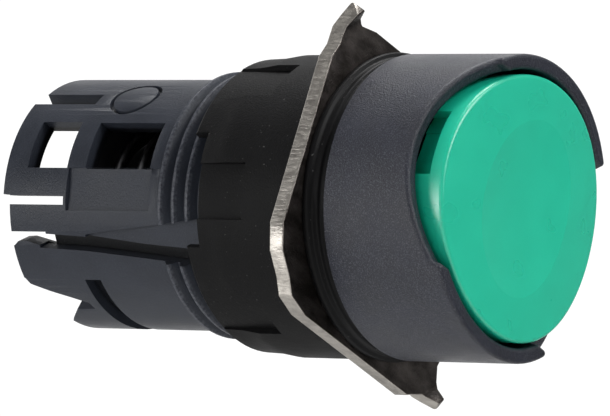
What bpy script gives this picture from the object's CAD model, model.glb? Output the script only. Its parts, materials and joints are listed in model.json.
import json
import math

import bpy
from mathutils import Matrix, Vector


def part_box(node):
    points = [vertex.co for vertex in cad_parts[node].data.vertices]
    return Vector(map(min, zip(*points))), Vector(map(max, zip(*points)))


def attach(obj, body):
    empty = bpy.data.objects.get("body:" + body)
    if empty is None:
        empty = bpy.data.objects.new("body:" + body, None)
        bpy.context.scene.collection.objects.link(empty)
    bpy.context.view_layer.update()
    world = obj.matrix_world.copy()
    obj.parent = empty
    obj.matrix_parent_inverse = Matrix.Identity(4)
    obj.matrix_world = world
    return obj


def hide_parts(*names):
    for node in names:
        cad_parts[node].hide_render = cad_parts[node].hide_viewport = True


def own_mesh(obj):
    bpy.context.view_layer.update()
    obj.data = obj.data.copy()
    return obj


# Operator head of a 16 mm panel push button. The button's axis is Y, its front faces -Y.
# Lengths are in metres and angles in degrees; the lens, the materials and the edges are in mm.

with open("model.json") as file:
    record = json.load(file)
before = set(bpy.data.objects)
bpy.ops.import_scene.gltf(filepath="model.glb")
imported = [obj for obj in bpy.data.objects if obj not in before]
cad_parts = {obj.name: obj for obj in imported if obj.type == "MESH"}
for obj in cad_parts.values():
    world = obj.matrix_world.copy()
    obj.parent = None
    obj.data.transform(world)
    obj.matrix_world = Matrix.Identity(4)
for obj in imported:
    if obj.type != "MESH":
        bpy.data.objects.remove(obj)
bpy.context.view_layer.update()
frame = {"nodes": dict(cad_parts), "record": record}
nodes = frame["nodes"]

MM = 0.001
VIEW_AZIMUTH = -50.35
VIEW_ELEVATION = -19.75
VIEW_ROLL = 16.3
VIEW_DISTANCE = 0.450
VIEW_TARGET = Vector((-3.48, 3.67, -1.73)) * MM
LENS = 453.6
SENSOR_WIDTH = 36
NEAR_CLIP = 0.01
FAR_CLIP = 10

# The surroundings turn white between these two cosines of the angle from straight behind the object.
WORLD_STRENGTH = 0.24
BACKDROP_STRENGTH = 1.08
WHITE_STARTS = 0.78
WHITE_FULL = 0.985

# Each light's name, its direction as (right, up, back) in the camera's view, its side and its watts.
LIGHT_DISTANCE = 0.8
LIGHTS = [("top_softbox", (0.1, 0.9, -0.3), 0.55, 8.2),
          ("left_strip", (-0.95, 0.0, 0.3), 0.34, 2.9),
          ("left_front", (-0.5, 0.1, 0.85), 0.35, 0.5),
          ("rear_fill", (-0.75, 0.3, -0.6), 0.4, 0.9),
          ("front_fill", (0.75, 0.6, 0.42), 0.4, 4.4)]
FLOOR_SIDE = 8
FLOOR_HEIGHT = -0.35

BEZEL_GREY = (0.009, 0.011, 0.021)
BODY_GREY = (0.023, 0.0265, 0.036)
NUT_BLACK = (0.0030, 0.0030, 0.0034)
CAP_GREEN = (0.006, 0.49, 0.31)
HOLDER_GREEN = (0.002, 0.52, 0.33)
INNER_BLACK = (0.006, 0.006, 0.007)
RUBBER_BLACK = (0.004, 0.004, 0.0045)
PLATE_DARK = (0.052, 0.045, 0.041)
PLATE_RUBBED = (0.17, 0.15, 0.14)
PLATE_BRIGHT = (0.50, 0.47, 0.43)
SPRING_STEEL = (0.30, 0.30, 0.31)
FLOOR_PALE = (0.88, 0.88, 0.87)
GRAIN_PEAK = (0.17, 0.175, 0.20)
DUST = (0.16, 0.16, 0.155)

# Sizes of a plastic's layers, as multiples of its grain.
PATCH_GRAINS = 22
SPECK_GRAINS = 1.3
PEAK_GRAINS = 0.75
WEAR_GRAINS = 1.6

# Noise values between which each layer fades in.
PATCH_FADE = (0.35, 0.65)
GRAIN_FADE = (0.3, 0.7)
SPECK_FADE = (0.74, 0.8)
PEAK_FADE = (0.54, 0.66)
WEAR_FADE = (0.36, 0.66)

# The grain's share of the colour, how pale worn crests get, how dark a hollow is, how wide each blend
# is, and the spread of roughness.
GRAIN_SHARE = 0.5
CREST_WEAR = 0.32
CREST_BLEND = 0.15
HOLLOW_SHADE = 0.12
HOLLOW_BLEND = 0.25
SMOOTHER = 0.04
ROUGHER = 0.05

# The plate: how squarely a surface faces along the axis, from sheared edge to flat face, then its
# rubbed scale, scuffs, shear marks and pits.
EDGE_TO_FACE = (0.55, 0.9)
SCALE_BLOB = (2.2, 2.2, 1.1)
SCALE_FADE = (0.40, 0.70)
SCUFF_BLOB = 0.7
SCUFF_FADE = (0.40, 0.58)
SCUFF_LEAST = 0.7
SHEAR_BLOB = (0.12, 0.9, 0.12)
SHEAR_SHADE = 0.75
SHEAR_ROUGHNESS = (0.28, 0.5)
SHEAR_DEPTH = 0.03
PIT_BLOB = 0.25
PIT_DEPTH = 0.012

# The spring's wire: its film of oil and its drawing lines.
FILM_BLOB = 0.9
FILM_SHADE = 0.5
FILM_ROUGHNESS = (0.25, 0.42)
LINE_BLOB = (0.05, 0.3, 0.05)
LINE_DEPTH = 0.004

SPRING_R = 4.7 * MM
SPRING_WIRE_R = 0.25 * MM
SPRING_TURNS = 5.94
SPRING_CLOSED_TURNS = 1.0
SPRING_START_ANGLE = 155.0
SPRING_END_TUCK = 0.35
POINTS_PER_TURN = 56

WELD_DISTANCE = 1e-6
FLAT_ANGLE = 0.6
SHARP_ANGLE = 32
SHADING_WEIGHT = 60

# How far the sharp edges of these pieces are rounded. The others keep their modelled edges.
EDGES = {"cap_holder": 0.06, "threaded_body": 0.07, "ring_nut": 0.10, "panel_gasket": 0.08,
         "anti_rotation_plate": 0.09, "plunger": 0.08, "spring_retainer": 0.06, "seal_retainer": 0.05}

# Positions of the colour sockets on a mix node.
COLOUR_A = 6
COLOUR_B = 7
COLOUR_RESULT = 2


# ---- camera and light

def view_matrix(azimuth, elevation, roll):
    """Rotation of a camera that looks from an azimuth and elevation, turned about its own axis."""
    around, up = math.radians(azimuth), math.radians(elevation)
    back = Vector((math.sin(around) * math.cos(up), -math.cos(around) * math.cos(up), math.sin(up)))
    upright = (-back).to_track_quat("-Z", "Y").to_matrix()
    return (upright @ Matrix.Rotation(math.radians(roll), 3, "Z")).to_4x4()


def add_camera():
    """The camera, with a long lens; returns its rotation."""
    data = bpy.data.cameras.new("camera")
    data.lens = LENS
    data.sensor_width = SENSOR_WIDTH
    data.clip_start = NEAR_CLIP
    data.clip_end = FAR_CLIP
    camera = bpy.data.objects.new("camera", data)
    turn = view_matrix(VIEW_AZIMUTH, VIEW_ELEVATION, VIEW_ROLL)
    camera.matrix_world = Matrix.Translation(VIEW_TARGET + turn.col[2].to_3d() * VIEW_DISTANCE) @ turn
    bpy.context.scene.collection.objects.link(camera)
    bpy.context.scene.camera = camera
    return turn


def area_light(turn, name, direction, side, power):
    """A soft square light aimed at the object from a direction in the camera's view."""
    data = bpy.data.lights.new(name, "AREA")
    data.shape = "SQUARE"
    data.size = side
    data.energy = power
    light = bpy.data.objects.new(name, data)
    towards = (turn.to_3x3() @ Vector(direction)).normalized()
    light.location = towards * LIGHT_DISTANCE
    light.rotation_euler = (-towards).to_track_quat("-Z", "Y").to_euler()
    bpy.context.scene.collection.objects.link(light)


def add_world(turn):
    """Grey surroundings that brighten smoothly to white behind the object."""
    world = bpy.data.worlds.new("studio")
    world.use_nodes = True
    tree = world.node_tree
    coords = tree.nodes.new("ShaderNodeTexCoord")
    towards = tree.nodes.new("ShaderNodeVectorMath")
    towards.operation = "DOT_PRODUCT"
    towards.inputs[1].default_value = -turn.col[2].to_3d()
    brightness = tree.nodes.new("ShaderNodeMapRange")
    brightness.interpolation_type = "SMOOTHSTEP"
    brightness.inputs["From Min"].default_value = WHITE_STARTS
    brightness.inputs["From Max"].default_value = WHITE_FULL
    brightness.inputs["To Min"].default_value = WORLD_STRENGTH
    brightness.inputs["To Max"].default_value = BACKDROP_STRENGTH
    background = tree.nodes["Background"]
    background.inputs["Color"].default_value = (1, 1, 1, 1)
    tree.links.new(coords.outputs["Generated"], towards.inputs[0])
    tree.links.new(towards.outputs["Value"], brightness.inputs["Value"])
    tree.links.new(brightness.outputs["Result"], background.inputs["Strength"])
    bpy.context.scene.world = world


def add_studio(turn):
    """Surroundings, soft lights and a pale floor below the object."""
    bpy.context.scene.view_settings.view_transform = "Standard"
    add_world(turn)
    for light in LIGHTS:
        area_light(turn, *light)
    bpy.ops.mesh.primitive_plane_add(size=FLOOR_SIDE, location=(0, 0, FLOOR_HEIGHT))
    floor = bpy.context.object
    floor.name = "floor"
    pale = moulded("floor_pale", FLOOR_PALE, 0.85, grain=40, depth=0.2, mottle=0.02)
    floor.data.materials.append(pale)


# ---- node helpers

def new_material(name, colour, roughness, metallic=0.0, specular=0.5):
    """A principled material, its node tree and its shader."""
    material = bpy.data.materials.new(name)
    material.use_nodes = True
    shader = material.node_tree.nodes["Principled BSDF"]
    shader.inputs["Base Color"].default_value = (*colour, 1)
    shader.inputs["Roughness"].default_value = roughness
    shader.inputs["Metallic"].default_value = metallic
    shader.inputs["Specular IOR Level"].default_value = specular
    return material, material.node_tree, shader


def noise(tree, size, detail=3.0, roughness=0.5):
    """Noise over the piece's own coordinates; size is a blob's, or three numbers for a stretched one."""
    sizes = size if isinstance(size, tuple) else (size, size, size)
    coords = tree.nodes.new("ShaderNodeTexCoord")
    mapping = tree.nodes.new("ShaderNodeMapping")
    mapping.inputs["Scale"].default_value = [1 / (blob * MM) for blob in sizes]
    texture = tree.nodes.new("ShaderNodeTexNoise")
    texture.inputs["Scale"].default_value = 1.0
    texture.inputs["Detail"].default_value = detail
    texture.inputs["Roughness"].default_value = roughness
    tree.links.new(coords.outputs["Object"], mapping.inputs["Vector"])
    tree.links.new(mapping.outputs["Vector"], texture.inputs["Vector"])
    return texture.outputs["Fac"]


def axis_distance(tree):
    """Distance from the button's axis."""
    coords = tree.nodes.new("ShaderNodeTexCoord")
    flat = tree.nodes.new("ShaderNodeVectorMath")
    flat.operation = "MULTIPLY"
    flat.inputs[1].default_value = (1, 0, 1)
    length = tree.nodes.new("ShaderNodeVectorMath")
    length.operation = "LENGTH"
    tree.links.new(coords.outputs["Object"], flat.inputs[0])
    tree.links.new(flat.outputs["Vector"], length.inputs[0])
    return length.outputs["Value"]


def remap(tree, value, low, high, to_low, to_high):
    """value from low..high to to_low..to_high, held at the ends."""
    node = tree.nodes.new("ShaderNodeMapRange")
    node.inputs["From Min"].default_value = low
    node.inputs["From Max"].default_value = high
    node.inputs["To Min"].default_value = to_low
    node.inputs["To Max"].default_value = to_high
    tree.links.new(value, node.inputs["Value"])
    return node.outputs["Result"]


def mix(tree, factor, first, second):
    """Two colours mixed by a factor; each is a colour or a node's output."""
    node = tree.nodes.new("ShaderNodeMix")
    node.data_type = "RGBA"
    tree.links.new(factor, node.inputs["Factor"])
    for socket, colour in ((node.inputs[COLOUR_A], first), (node.inputs[COLOUR_B], second)):
        if isinstance(colour, tuple):
            socket.default_value = (*colour, 1)
        else:
            tree.links.new(colour, socket)
    return node.outputs[COLOUR_RESULT]


def combine(tree, operation, first, second):
    """A math node, held to 0..1, on two outputs, or on an output and a number."""
    node = tree.nodes.new("ShaderNodeMath")
    node.operation = operation
    node.use_clamp = True
    for socket, value in ((node.inputs[0], first), (node.inputs[1], second)):
        if isinstance(value, float):
            socket.default_value = value
        else:
            tree.links.new(value, socket)
    return node.outputs[0]


def add_bump(tree, shader, height, depth):
    """Bump of a height output, on top of any bump that the shader has already."""
    node = tree.nodes.new("ShaderNodeBump")
    node.inputs["Strength"].default_value = 1.0
    node.inputs["Distance"].default_value = depth * MM
    tree.links.new(height, node.inputs["Height"])
    previous = shader.inputs["Normal"].links
    if previous:
        tree.links.new(previous[0].from_socket, node.inputs["Normal"])
    tree.links.new(node.outputs["Normal"], shader.inputs["Normal"])


def scaled(colour, factor):
    """A colour made brighter or darker by a factor."""
    return tuple(min(channel * factor, 1.0) for channel in colour)


# ---- materials

def moulded(name, colour, roughness, grain, depth, mottle=0.08, specular=0.5, dust=0.0,
            sparkle=0.0, hollow=0.0, crest=0.0):
    """Moulded plastic or rubber, with grain, its bump depth, and uneven colour and gloss.

    dust adds pale specks and sparkle the pale peaks of an eroded texture. The piece is dark within
    the radius hollow, for a bore in shadow, and rubbed pale beyond the radius crest, for a thread.
    """
    material, tree, shader = new_material(name, colour, roughness, specular=specular)
    broad = noise(tree, grain * PATCH_GRAINS, detail=2.0)
    fine = noise(tree, grain, detail=4.0, roughness=0.6)
    patches = remap(tree, broad, *PATCH_FADE, 0.0, 1.0)
    tint = mix(tree, patches, scaled(colour, 1 - mottle), scaled(colour, 1 + mottle))
    grains = remap(tree, fine, *GRAIN_FADE, 0.0, GRAIN_SHARE)
    tint = mix(tree, grains, tint, scaled(colour, 1 - 2 * mottle))
    if dust:
        specks = remap(tree, noise(tree, grain * SPECK_GRAINS, detail=1.0), *SPECK_FADE, 0.0, dust)
        tint = mix(tree, specks, tint, DUST)
    if sparkle:
        peaks = remap(tree, noise(tree, grain * PEAK_GRAINS, detail=1.5), *PEAK_FADE, 0.0, sparkle)
        tint = mix(tree, peaks, tint, GRAIN_PEAK)
    if crest:
        outside = remap(tree, axis_distance(tree), (crest - CREST_BLEND) * MM, crest * MM, 0.0, 1.0)
        rubbed = remap(tree, noise(tree, grain * WEAR_GRAINS, detail=3.0), *WEAR_FADE, 0.0, CREST_WEAR)
        tint = mix(tree, combine(tree, "MULTIPLY", outside, rubbed), tint, GRAIN_PEAK)
    if hollow:
        lit = remap(tree, axis_distance(tree), (hollow - HOLLOW_BLEND) * MM, hollow * MM, 0.0, 1.0)
        tint = mix(tree, lit, scaled(colour, HOLLOW_SHADE), tint)
    tree.links.new(tint, shader.inputs["Base Color"])
    gloss = remap(tree, broad, *GRAIN_FADE, roughness - SMOOTHER, roughness + ROUGHER)
    tree.links.new(gloss, shader.inputs["Roughness"])
    add_bump(tree, shader, fine, depth)
    return material


def stamped_steel():
    """Dark scale, rubbed in patches, on the plate's faces; bare metal with shear marks at its edges."""
    material, tree, shader = new_material("plate_steel", PLATE_DARK, 0.4, metallic=1.0)
    coords = tree.nodes.new("ShaderNodeTexCoord")
    split = tree.nodes.new("ShaderNodeSeparateXYZ")
    tree.links.new(coords.outputs["Normal"], split.inputs["Vector"])
    facing = combine(tree, "ABSOLUTE", split.outputs["Y"], 0.0)
    scuffs = noise(tree, SCUFF_BLOB, detail=5.0, roughness=0.65)
    edge = remap(tree, facing, *EDGE_TO_FACE, 1.0, 0.0)
    bare = combine(tree, "MULTIPLY", remap(tree, scuffs, *SCUFF_FADE, SCUFF_LEAST, 1.0), edge)
    shear = noise(tree, SHEAR_BLOB, detail=4.0, roughness=0.6)
    streaks = remap(tree, shear, *GRAIN_FADE, 0.0, 1.0)
    metal = mix(tree, streaks, scaled(PLATE_BRIGHT, SHEAR_SHADE), PLATE_BRIGHT)
    rubbed = remap(tree, noise(tree, SCALE_BLOB, detail=5.0, roughness=0.6), *SCALE_FADE, 0.0, 1.0)
    scale = mix(tree, rubbed, PLATE_DARK, PLATE_RUBBED)
    tree.links.new(mix(tree, bare, scale, metal), shader.inputs["Base Color"])
    tree.links.new(remap(tree, shear, *GRAIN_FADE, *SHEAR_ROUGHNESS), shader.inputs["Roughness"])
    add_bump(tree, shader, shear, SHEAR_DEPTH)
    add_bump(tree, shader, noise(tree, PIT_BLOB, detail=3.0), PIT_DEPTH)
    return material


def drawn_wire():
    """Spring wire with fine drawing lines and an uneven dark film of oil."""
    material, tree, shader = new_material("spring_steel", SPRING_STEEL, 0.32, metallic=1.0)
    film = noise(tree, FILM_BLOB, detail=4.0)
    lines = noise(tree, LINE_BLOB, detail=2.0)
    clean = remap(tree, film, *PATCH_FADE, 0.0, 1.0)
    tint = mix(tree, clean, scaled(SPRING_STEEL, FILM_SHADE), SPRING_STEEL)
    tree.links.new(tint, shader.inputs["Base Color"])
    tree.links.new(remap(tree, film, *GRAIN_FADE, *FILM_ROUGHNESS), shader.inputs["Roughness"])
    add_bump(tree, shader, lines, LINE_DEPTH)
    return material


def cap_plastic():
    """Semi-gloss green with a very fine grain, which lets a little light in."""
    material = moulded("cap_green", CAP_GREEN, 0.30, grain=0.11, depth=0.0022, mottle=0.03, specular=0.72)
    shader = material.node_tree.nodes["Principled BSDF"]
    shader.inputs["Subsurface Weight"].default_value = 0.12
    shader.inputs["Subsurface Scale"].default_value = 0.35 * MM
    shader.inputs["Subsurface Radius"].default_value = (0.3, 1.0, 0.7)
    return material


materials = {
    "bezel_plastic": moulded("bezel_plastic", BEZEL_GREY, 0.36, grain=0.10, depth=0.05, mottle=0.16,
                             specular=0.42, sparkle=0.27),
    "body_plastic": moulded("body_plastic", BODY_GREY, 0.38, grain=0.12, depth=0.02, mottle=0.12,
                            specular=0.18, sparkle=0.03, hollow=7.0, crest=7.9),
    "cap_green": cap_plastic(),
    "holder_green": moulded("holder_green", HOLDER_GREEN, 0.42, grain=0.12, depth=0.004, mottle=0.06,
                            specular=0.3),
    "inner_plastic": moulded("inner_plastic", INNER_BLACK, 0.5, grain=0.15, depth=0.006, mottle=0.1,
                             specular=0.3),
    "nut_plastic": moulded("nut_plastic", NUT_BLACK, 0.55, grain=0.12, depth=0.03, mottle=0.25,
                           specular=0.11, dust=0.5),
    "gasket_rubber": moulded("gasket_rubber", RUBBER_BLACK, 0.45, grain=0.2, depth=0.008, mottle=0.15,
                             specular=0.12, dust=0.4),
    "seal_rubber": moulded("seal_rubber", RUBBER_BLACK, 0.55, grain=0.2, depth=0.006, specular=0.3),
    "plate_steel": stamped_steel(),
    "spring_steel": drawn_wire(),
}


# ---- finish of the CAD pieces

def soften(node, width):
    """Rounds the sharp moulded edges of a CAD piece and evens its shading."""
    weld = node.modifiers.new("weld", "WELD")
    weld.merge_threshold = WELD_DISTANCE
    flat = node.modifiers.new("flat_faces", "DECIMATE")
    flat.decimate_type = "DISSOLVE"
    flat.angle_limit = math.radians(FLAT_ANGLE)
    bevel = node.modifiers.new("edges", "BEVEL")
    bevel.width = width * MM
    bevel.segments = 2
    bevel.limit_method = "ANGLE"
    bevel.angle_limit = math.radians(SHARP_ANGLE)
    shade = node.modifiers.new("shading", "WEIGHTED_NORMAL")
    shade.weight = SHADING_WEIGHT


slots = {part["node"]: part["material_slot"] for part in frame["record"]["subparts"]}
for name, node in nodes.items():
    node.data.materials.clear()
    node.data.materials.append(materials[slots[name]])
    if name in EDGES:
        soften(node, EDGES[name])


def add_spring():
    """The return spring with a closed turn at each end; it shortens as the button goes in."""
    low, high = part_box("return_spring")
    length = high.y - low.y
    total = SPRING_TURNS + 2 * SPRING_CLOSED_TURNS
    curve = bpy.data.curves.new("spring_wire", "CURVE")
    curve.dimensions = "3D"
    curve.bevel_depth = SPRING_WIRE_R
    curve.bevel_resolution = 4
    spline = curve.splines.new("POLY")
    count = int(total * POINTS_PER_TURN) + 1
    spline.points.add(count - 1)
    for i in range(count):
        turns = i / POINTS_PER_TURN - SPRING_CLOSED_TURNS
        open_turns = min(max(turns, 0.0), SPRING_TURNS)
        end_share = abs(turns - open_turns) / SPRING_CLOSED_TURNS
        y = low.y + SPRING_WIRE_R + (length - 2 * SPRING_WIRE_R) * open_turns / SPRING_TURNS
        angle = math.radians(SPRING_START_ANGLE - 360 * turns)
        radius = SPRING_R - SPRING_END_TUCK * SPRING_WIRE_R * end_share
        spline.points[i].co = (radius * math.cos(angle), y, radius * math.sin(angle), 1)
    wire = bpy.data.objects.new("spring_wire", curve)
    bpy.context.scene.collection.objects.link(wire)
    bpy.context.view_layer.update()
    mesh = bpy.data.meshes.new_from_object(wire.evaluated_get(bpy.context.evaluated_depsgraph_get()))
    bpy.data.objects.remove(wire)
    spring = bpy.data.objects.new("coil_spring", mesh)
    bpy.context.scene.collection.objects.link(spring)
    for face in mesh.polygons:
        face.use_smooth = True
    mesh.materials.clear()
    mesh.materials.append(materials["spring_steel"])
    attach(spring, "head")
    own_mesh(spring)
    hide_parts("return_spring")


add_spring()
turn = add_camera()
add_studio(turn)
